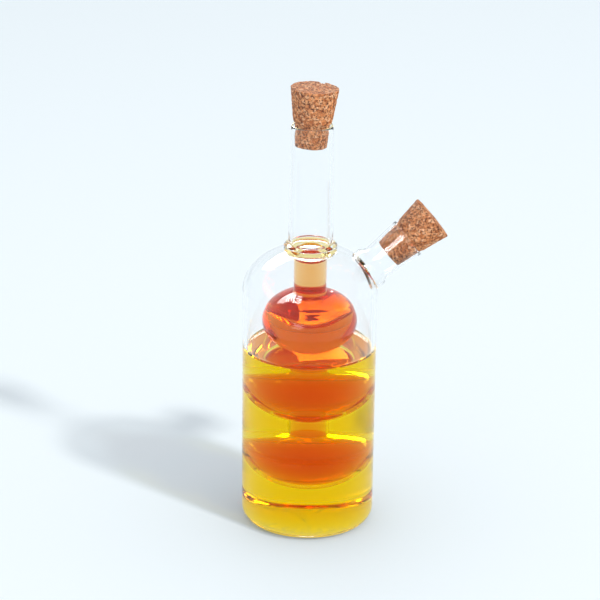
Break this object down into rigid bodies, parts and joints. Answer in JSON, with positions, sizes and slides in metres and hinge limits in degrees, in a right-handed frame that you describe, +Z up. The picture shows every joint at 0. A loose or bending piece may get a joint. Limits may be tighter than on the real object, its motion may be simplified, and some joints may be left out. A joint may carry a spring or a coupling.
{
  "type": "oil bottle",
  "caption": "Clear glass oil and vinegar bottle: round body with a domed top, an inner vessel of bulbs on a tall neck, a slanted side spout, and a tapered cork in each mouth.",
  "frame": {"origin": "centre of the flat base, on the axis of the body and neck", "axes": "+Z up along the neck, +X towards the side spout, which leans up and out in the XZ plane"},
  "size_m": [0.1104, 0.072, 0.2451],
  "materials": {
    "glass": "clear polished",
    "oil": "clear golden liquid",
    "vinegar": "clear amber liquid",
    "cork": "matt pressed cork grains"
  },
  "bodies": {
    "root": {"glass": "glass", "oil": "oil", "vinegar": "vinegar", "neck_cork": "cork", "spout_cork": "cork"}
  },
  "joints": []
}
